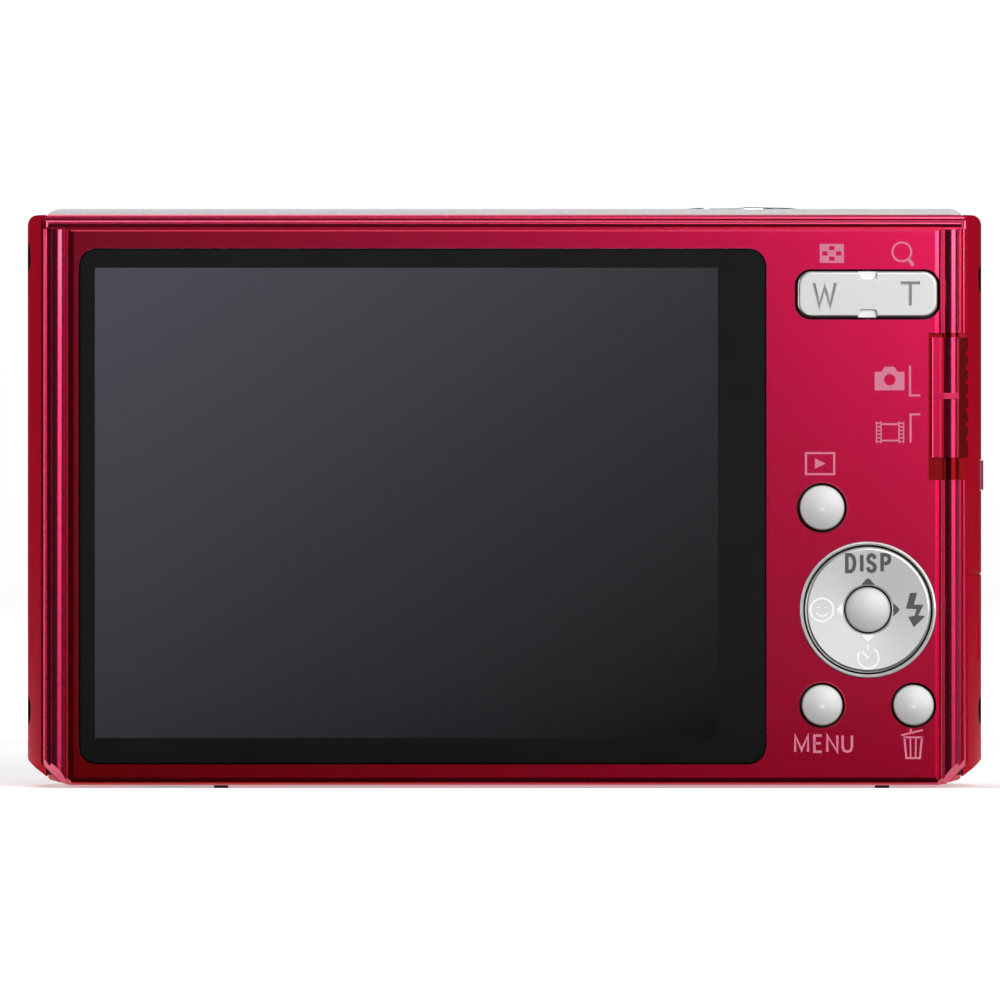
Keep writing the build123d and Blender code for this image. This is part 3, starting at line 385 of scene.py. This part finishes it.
BY_SLOT = {
    "red_casing": metallic_paint("red_metallic_paint"),
    "silver_cover": satin_metal(
        "silver_cover_paint", (0.66, 0.66, 0.67), 0.5, metallic=0.12, specular=0.15
    ),
    "silver_keys": plated_key("satin_plated_keys", grey(0.60), 0.42, KEY_SKIRT),
    "bright_trim": bright_ring,
    "barrel_metal": turned_metal("anodised_barrel", (0.60, 0.60, 0.62), 0.28),
    "display_glass": display_window(),
    "display_panel": plastic("display_cell", (0.020, 0.020, 0.024), 0.2, 0.0004, 0.02),
    "sheet_steel": satin_metal("sheet_steel", (0.55, 0.55, 0.56), 0.34, (1.0, 1.0, 0.04), 4000.0, 0.12),
    "small_steel": satin_metal("dark_screw_steel", (0.10, 0.10, 0.105), 0.3, None, 5000.0, 0.1),
    "black_plastic": plastic("black_plastic", (0.02, 0.02, 0.021), 0.5),
    "blade_black": plastic("blade_paint", (0.012, 0.012, 0.013), 0.42, 0.0001, 0.08),
    "foot_rubber": plastic("dark_rubber", (0.03, 0.012, 0.012), 0.8, 0.0003, 0.3),
    "lens_glass": coated_glass(),
    "clear_plastic": clear_moulding("clear_moulding", (0.85, 0.86, 0.84)),
    "reflector_metal": bright_ring,
    "circuit_board": circuit_board("green_circuit_board", (0.010, 0.075, 0.035), (0.70, 0.52, 0.22)),
    "sensor_face": chip_face(),
    "dark_metal": sleeve("dark_sleeve", (0.02, 0.02, 0.026), (0.30, 0.30, 0.31)),
    "socket_metal": satin_metal("socket_metal", (0.42, 0.42, 0.43), 0.3, (1.0, 0.1, 1.0), 5000.0, 0.1),
    "battery_wrap": sleeve("battery_wrap", (0.035, 0.038, 0.048), (0.09, 0.10, 0.13)),
    "card_plastic": plastic("card_plastic", (0.015, 0.02, 0.045), 0.42, 0.0003, 0.1),
}
BY_NODE = {
    "rear_cover": casing_paint,
    "mode_switch": casing_paint,
    "playback_button": dome_plating,
    "menu_button": dome_plating,
    "delete_button": dome_plating,
    "centre_button": dome_plating,
    "shutter_button": top_plating,
    "power_button": top_plating,
    "pad_ring": plated_key("bright_pad_ring", (0.90, 0.86, 0.87), 0.35, PAD_RING_SKIRT, 0.4),
    "key_board": circuit_board("black_key_board", (0.006, 0.006, 0.007), (0.05, 0.045, 0.04)),
    "strap_lug": satin_metal("lug_steel", (0.24, 0.05, 0.10), 0.25, None, 5000.0, 0.06),
    "side_trim_left": trim_lacquer("left_trim_paint", LEFT_SCREWS),
    "side_trim_right": right_trim_paint,
    "side_trim_right_lower": right_trim_paint,
}
for subpart in frame["record"]["subparts"]:
    name = subpart["node"]
    materials = NODES[name].data.materials
    materials.clear()
    materials.append(BY_NODE.get(name, BY_SLOT[subpart["material_slot"]]))


# ---- Drawing of flat shapes ---------------------------------------------------------------
# A shape is a list of closed outlines in millimetres, (X, Z) seen from behind; an outline
# inside another is a hole.
def moved(center, points):
    """Points given from a centre."""
    return [(center[0] + u, center[1] + v) for u, v in points]


def turned(center, points, quarter):
    """Points given from a centre, turned about it by quarter turns."""
    cosine, sine = ((1, 0), (0, 1), (-1, 0), (0, -1))[quarter]
    return moved(center, [(u * cosine - v * sine, u * sine + v * cosine) for u, v in points])


def arc(center, radius, start, end, count=24):
    """Points along an arc, angles in degrees."""
    angles = [math.radians(start + (end - start) * i / count) for i in range(count + 1)]
    return moved(center, [(radius * math.cos(angle), radius * math.sin(angle)) for angle in angles])


def circle(center, radius, count=40):
    return arc(center, radius, 0, 360, count)[:-1]


def ring(center, radius, width):
    return [circle(center, radius + width / 2), circle(center, radius - width / 2)]


def rectangle(center, size):
    across, up = size[0] / 2, size[1] / 2
    return moved(center, [(-across, -up), (across, -up), (across, up), (-across, up)])


def hollow_rectangle(center, size, width):
    return [
        rectangle(center, (size[0] + width, size[1] + width)),
        rectangle(center, (size[0] - width, size[1] - width)),
    ]


def stroke(points, width):
    """Closed outline of a pen stroke along a line of points, mitred at its corners."""
    shortest_mitre = 0.45
    points = [Vector(point) for point in points]
    left, right = [], []
    for i, point in enumerate(points):
        before = (point - points[i - 1]).normalized() if i else (points[1] - point).normalized()
        after = (points[i + 1] - point).normalized() if i + 1 < len(points) else before
        across = (before + after).normalized()
        normal = Vector((-across.y, across.x))
        reach = width / 2 / max(shortest_mitre, normal.dot(Vector((-before.y, before.x))))
        left.append(tuple(point + normal * reach))
        right.append(tuple(point - normal * reach))
    return left + right[::-1]


LETTERS = {
    "M": [[(0, 0), (0, 1), (0.5, 0.1), (1, 1), (1, 0)]],
    "E": [[(1, 1), (0, 1), (0, 0), (1, 0)], [(0, 0.52), (0.88, 0.52)]],
    "N": [[(0, 0), (0, 1), (1, 0), (1, 1)]],
    "U": [[(0, 1), (0, 0.28), (0.14, 0.07), (0.5, 0), (0.86, 0.07), (1, 0.28), (1, 1)]],
    "D": [
        [(0, 0.5), (0, 1), (0.5, 1), (0.85, 0.87), (1, 0.62)]
        + [(1, 0.38), (0.85, 0.13), (0.5, 0), (0, 0), (0, 0.5)]
    ],
    "I": [[(0, 0), (0, 1)]],
    "S": [
        [(0.97, 0.76), (0.84, 0.93), (0.5, 1), (0.16, 0.93), (0.03, 0.76), (0.16, 0.6), (0.5, 0.52)]
        + [(0.84, 0.42), (1, 0.24), (0.86, 0.07), (0.5, 0), (0.14, 0.07), (0, 0.26)]
    ],
    "P": [
        [(0, 0), (0, 1), (0.55, 1), (0.88, 0.94)]
        + [(1, 0.76), (0.88, 0.55), (0.55, 0.48), (0.28, 0.48)]
    ],
}


def word(letters, low, height, pen):
    """Shapes of a word, from the name, left edge and width of each letter's box."""
    return [
        [stroke([(left + u * width, low + v * height) for u, v in line], pen)]
        for name, left, width in letters
        for line in LETTERS[name]
    ]


# ---- Marks on the panel -------------------------------------------------------------------
THIN, BOLD = 0.19, 0.24


def index_sheet():
    """Plate with four dark cells."""
    middle = (31.92, 52.2)
    spots = moved(middle, [(0, 0.52), (0, -0.52), (-0.68, 0), (0.68, 0)])
    return [[rectangle(middle, (2.35, 1.85))] + [rectangle(spot, (0.52, 0.4)) for spot in spots]]


def magnifier():
    handle = stroke([(39.45, 51.6), (39.87, 51.02)], 0.34)
    return [ring((38.75, 52.35), 0.92, THIN), [handle]]


def still_camera():
    middle = (37.55, 39.9)
    body = [(-1.45, -1.05), (1.45, -1.05), (1.45, 0.75), (0.8, 0.75)]
    body += [(0.45, 1.25), (-0.45, 1.25), (-0.8, 0.75), (-1.45, 0.75)]
    lens = circle((middle[0] + 0.02, middle[1] - 0.02), 0.56)
    return [[moved(middle, body), lens]]


def switch_pointers():
    """Bent lines that lead from the two modes to the switch."""
    still = [(39.55, 41.25), (39.55, 38.35), (40.55, 38.35)]
    movie = [(40.55, 36.5), (39.6, 36.5), (39.6, 33.75)]
    return [[stroke(still, 0.2)], [stroke(movie, 0.2)]]


def film_strip():
    """Two perforated edges and the frame lines between them."""
    middle, edge, perforations = (37.6, 34.75), 1.05, 6
    shapes = []
    for side in (-1, 1):
        for across, pen in ((1.32, 0.12), (0.88, 0.14)):
            line = moved(middle, [(side * across, -edge), (side * across, edge)])
            shapes.append([stroke(line, pen)])
        for spot in moved(middle, [(side * 1.1, 0.36 * i - 0.9) for i in range(perforations)]):
            shapes.append([rectangle(spot, (0.34, 0.13))])
        shapes.append([rectangle((middle[0], middle[1] + side * 0.8), (1.66, 0.17))])
    return shapes


def playback_mark():
    middle = (30.78, 31.7)
    arrow = moved(middle, [(-0.5, -0.5), (0.55, 0), (-0.5, 0.5)])
    return [hollow_rectangle(middle, (2.75, 2.05), 0.2), [arrow]]


def menu_word():
    letters = (("M", 28.35, 1.25), ("E", 30.22, 0.72), ("N", 31.48, 0.98), ("U", 32.98, 0.9))
    return word(letters, 3.6, 1.58, BOLD)


def waste_bin():
    """Can with two ribs, and its tilted lid with a knob."""
    middle = (39.85, 4.0)
    lines = (
        (THIN, [(-0.86, 1.02), (-0.66, -1.02), (0.66, -1.02), (0.86, 1.02)]),
        (THIN, [(-0.95, 1.0), (0.95, 1.0)]),
        (0.15, [(-0.24, -0.95), (-0.276, 0.95)]),
        (0.15, [(0.24, -0.95), (0.276, 0.95)]),
        (0.17, [(-1.15, 1.2), (0.95, 1.72)]),
        (0.17, [(-0.3, 1.5), (-0.16, 1.82)]),
    )
    return [[stroke(moved(middle, line), pen)] for pen, line in lines]


def panel_marks():
    top = index_sheet() + magnifier()
    beside_switch = still_camera() + switch_pointers() + film_strip()
    return top + beside_switch + playback_mark() + menu_word() + waste_bin()


# ---- Marks on the rocker and the control pad ----------------------------------------------
ROCKER = (35.4, 48.2)
PAD = (35.45, 17.45)
# Radius and depth of the pad's dished top at its inner edge, its bend and its rim.
PAD_PROFILE = ((2.35, -9.15), (2.5, -9.3), (5.85, -9.4))


def rocker_marks():
    """Grey fill of the engraved wide and tele letters."""
    wide_middle, tele_middle, leg = 31.2, 39.55, 0.525
    height, pen = 2.2, 0.3
    middle = ROCKER[1]
    zigzag = ((-2, 1), (-1, -1), (0, 0.6), (1, -1), (2, 1))
    wide = [(wide_middle + leg * step, middle + rise * height / 2) for step, rise in zigzag]
    return [
        [stroke(wide, pen)],
        [rectangle((tele_middle, middle - 0.08), (pen, height - 0.1))],
        [rectangle((tele_middle, middle + height / 2), (1.86, pen))],
    ]


def rocker_notch_highlights():
    """White glowing film on the bottoms of the two finger notches, above and below the rocker's middle:
    a painted highlight.
    """
    reach = 2.17
    pip = [(-0.82, 0.0), (0.82, 0.0), (0.62, -0.55), (0.4, -0.68), (-0.4, -0.68), (-0.62, -0.55)]
    return [[moved(ROCKER, [(u, side * (reach + v)) for u, v in pip])] for side in (-1, 1)]


def smile():
    middle = (30.95, 17.43)
    mouth = arc((middle[0], middle[1] - 0.02), 0.58, 205, 335, 12)
    eyes = [moved(middle, [(side * 0.52, 0.25), (side * 0.2, 0.25)]) for side in (-1, 1)]
    return [ring(middle, 1.12, 0.2), [stroke(mouth, 0.15)]] + [[stroke(eye, 0.13)] for eye in eyes]


def self_timer():
    """Open clock ring with a tick and a hand."""
    middle = (35.47, 12.75)
    dial = arc(middle, 1.02, 60, -218, 40)
    tick = moved(middle, [(0, 0.72), (0, 1.3)])
    hand = moved(middle, [(-0.62, 0.62), (0.02, -0.05)])
    return [[stroke(dial, 0.2)], [stroke(tick, 0.2)], [stroke(hand, 0.24)]]


def display_word():
    letters = (("D", 33.38, 0.74), ("I", 34.83, 0.0), ("S", 35.42, 0.72), ("P", 36.82, 0.72))
    return word(letters, 21.18, 1.62, 0.36)


def flash_bolt():
    outline = [(-0.50, 1.65), (0.18, 1.65), (-0.12, 0.50), (0.80, 0.48), (0.30, -0.55), (0.98, -0.62)]
    outline += [(-0.15, -1.72), (-0.68, -0.70), (-0.08, -0.60), (0.12, 0.05), (-0.92, 0.10)]
    return [[moved((40.05, 17.45), outline)]]


def arrow_tip(quarter):
    """Small arrow that points outward beside the centre button."""
    tip = [(-0.66, 2.45), (0.66, 2.45), (0.18, 2.98), (0.0, 3.06), (-0.18, 2.98)]
    return [[turned(PAD, tip, quarter)]]


# ---- Ink ----------------------------------------------------------------------------------
# How far a printed film stands proud of its surface and reaches into it.
INK_PROUD, INK_SUNK = 0.012, 0.02
PANEL_FACE, ROCKER_LETTER_FLOOR, ROCKER_NOTCH_FLOOR = -9.1, -9.28, -9.0


def flat_face(depth):
    """A surface that lies at one depth."""
    return lambda u, v: depth


def pad_face(u, v):
    """Depth of the control pad's dished top at a point."""
    radius = math.dist((u, v), PAD)
    edge, bend, rim = PAD_PROFILE
    (r0, y0), (r1, y1) = (edge, bend) if radius < bend[0] else (bend, rim)
    return y0 + (y1 - y0) * (radius - r0) / (r1 - r0)


def weld(mesh):
    """Join the front, back and wall of each plate into one closed skin."""
    work = bmesh.new()
    work.from_mesh(mesh)
    bmesh.ops.remove_doubles(work, verts=work.verts, dist=1e-7)
    bmesh.ops.recalc_face_normals(work, faces=work.faces)
    work.to_mesh(mesh)
    work.free()


def ink(name, shapes, face, material, body):
    """Printed film: each shape is a thin plate whose front follows the surface under it."""
    vertices, faces = [], []
    for outlines in shapes:
        curve = bpy.data.curves.new(name, "CURVE")
        curve.dimensions = "2D"
        curve.fill_mode = "BOTH"
        curve.extrude = 1.0
        for outline in outlines:
            spline = curve.splines.new("POLY")
            spline.points.add(len(outline) - 1)
            for point, (u, v) in zip(spline.points, outline):
                point.co = (u, v, 0, 1)
            spline.use_cyclic_u = True
        holder = bpy.data.objects.new(name, curve)
        plate = bpy.data.meshes.new_from_object(holder)
        first = len(vertices)
        for vertex in plate.vertices:
            u, v, side = vertex.co
            depth = face(u, v) + (-INK_PROUD if side > 0 else INK_SUNK)
            vertices.append((u * MM, depth * MM, v * MM))
        faces += [tuple(first + index for index in polygon.vertices) for polygon in plate.polygons]
        bpy.data.objects.remove(holder)
        bpy.data.curves.remove(curve)
        bpy.data.meshes.remove(plate)
    mesh = bpy.data.meshes.new(name)
    mesh.from_pydata(vertices, [], faces)
    weld(mesh)
    mesh.materials.append(material)
    piece = bpy.data.objects.new(name, mesh)
    bpy.context.scene.collection.objects.link(piece)
    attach(piece, body)


def ink_color(name, color, glow=0.0):
    return plastic(name, color, 0.5, 0.0001, 0.05, glow)


pink_ink = ink_color("pink_ink", (0.90, 0.25, 0.40))
# The white ink glows a little: painted light that keeps the white marks bright.
glowing_white_ink = ink_color("glowing_white_ink", grey(0.90), 0.3)
grey_ink = ink_color("grey_ink", grey(0.10))
pale_grey_ink = ink_color("pale_grey_ink", grey(0.36))
pad_light_marks = smile() + self_timer() + arrow_tip(2) + arrow_tip(1)
pad_dark_marks = display_word() + flash_bolt() + arrow_tip(0) + arrow_tip(3)
ink("panel_marks", panel_marks(), flat_face(PANEL_FACE), pink_ink, "casing")
ink("rocker_marks", rocker_marks(), flat_face(ROCKER_LETTER_FLOOR), pale_grey_ink, "zoom_rocker")
# Painted highlights in glowing white ink on the rocker's notch bottoms.
ink("rocker_notch_highlights", rocker_notch_highlights(), flat_face(ROCKER_NOTCH_FLOOR), glowing_white_ink, "zoom_rocker")
ink("pad_light_marks", pad_light_marks, pad_face, glowing_white_ink, "control_pad")
ink("pad_dark_marks", pad_dark_marks, pad_face, grey_ink, "control_pad")


# ---- Camera -------------------------------------------------------------------------------
VIEW_DISTANCE = 1.0
VIEW_WIDTH = 98.4252 * MM
VIEW_MIDDLE = (-0.44 * MM, 28.15 * MM)
SENSOR_WIDTH = 36.0

camera_data = bpy.data.cameras.new("view")
camera_data.sensor_width = SENSOR_WIDTH
camera_data.lens = SENSOR_WIDTH * VIEW_DISTANCE / VIEW_WIDTH
camera_data.clip_start = 0.01
camera_data.clip_end = 20.0
camera = bpy.data.objects.new("view", camera_data)
camera.location = (VIEW_MIDDLE[0], -VIEW_DISTANCE, VIEW_MIDDLE[1])
camera.rotation_euler = (math.radians(90), 0, 0)
bpy.context.scene.collection.objects.link(camera)
bpy.context.scene.camera = camera


# ---- Studio -------------------------------------------------------------------------------
OBJECT_MIDDLE = Vector((0, 0, 0.028))
PALE = grey(0.9)


def softbox(name, location, size, power):
    """Rectangular lamp turned to the middle of the camera."""
    data = bpy.data.lights.new(name, "AREA")
    data.shape = "RECTANGLE"
    data.size, data.size_y = size
    data.energy = power
    light = bpy.data.objects.new(name, data)
    light.location = location
    direction = OBJECT_MIDDLE - Vector(location)
    light.rotation_euler = direction.to_track_quat("-Z", "Y").to_euler()
    bpy.context.scene.collection.objects.link(light)


def staged(name, vertices, faces, emission):
    """Pale glowing piece of the surroundings."""
    mesh = bpy.data.meshes.new(name)
    mesh.from_pydata(vertices, [], faces)
    mesh.shade_smooth()
    piece = bpy.data.objects.new(name, mesh)
    bpy.context.scene.collection.objects.link(piece)
    recipe = Recipe(name, PALE, 0.7)
    recipe.set("Emission Color", (1, 1, 1, 1))
    recipe.set("Emission Strength", emission)
    mesh.materials.append(recipe.material)
    return piece


def studio_bowl():
    """Pale floor that curves up into a wall all round; it is seen, but lights and mirrors nothing."""
    disc, floor, bend, wall = 0.5, 1.8, 0.6, 3.0
    steps, sides = 12, 72
    profile = [(disc, 0.0), (floor, 0.0)]
    for step in range(1, steps + 1):
        angle = math.pi / 2 * step / steps
        profile.append((floor + bend * math.sin(angle), bend - bend * math.cos(angle)))
    profile.append((floor + bend, wall))
    vertices = []
    for radius, height in profile:
        for side in range(sides):
            angle = 2 * math.pi * side / sides
            vertices.append((radius * math.cos(angle), radius * math.sin(angle), height))
    faces = [tuple(range(sides))]
    for level in range(len(profile) - 1):
        for side in range(sides):
            first, second = level * sides + side, level * sides + (side + 1) % sides
            faces.append((first, first + sides, second + sides, second))
    bowl = staged("studio_bowl", vertices, faces, 0.9)
    bowl.visible_glossy = False
    bowl.visible_diffuse = False


def mirrored_floor():
    """The part of the floor that shows in the front cover and the lower corners."""
    half_width, near, far, lift = 0.30, -0.009, 0.20, 0.00001
    across_and_along = ((-half_width, near), (half_width, near), (half_width, far), (-half_width, far))
    corners = [(across, along, lift) for across, along in across_and_along]
    staged("mirrored_floor", corners, [(0, 1, 2, 3)], 0.4)


world = bpy.data.worlds.new("studio")
world.use_nodes = True
world.node_tree.nodes["Background"].inputs["Color"].default_value = (1, 1, 1, 1)
world.node_tree.nodes["Background"].inputs["Strength"].default_value = 0.03
bpy.context.scene.world = world
softbox("key", (0.46, -1.02, 0.44), (0.83, 0.78), 12.0)
softbox("top", (0.0, -0.15, 0.75), (0.9, 0.35), 1.4)
softbox("front_card", (0.12, -1.30, 0.20), (0.45, 0.45), 0.10)
softbox("right_card", (0.95, -0.15, 0.10), (0.5, 0.8), 1.6)
softbox("left_card", (-0.95, 0.0, 0.10), (0.5, 0.8), 6.0)
softbox("far_side", (-0.25, 0.50, 0.95), (0.6, 0.4), 3.0)
studio_bowl()
mirrored_floor()

bpy.context.scene.view_settings.view_transform = "Standard"
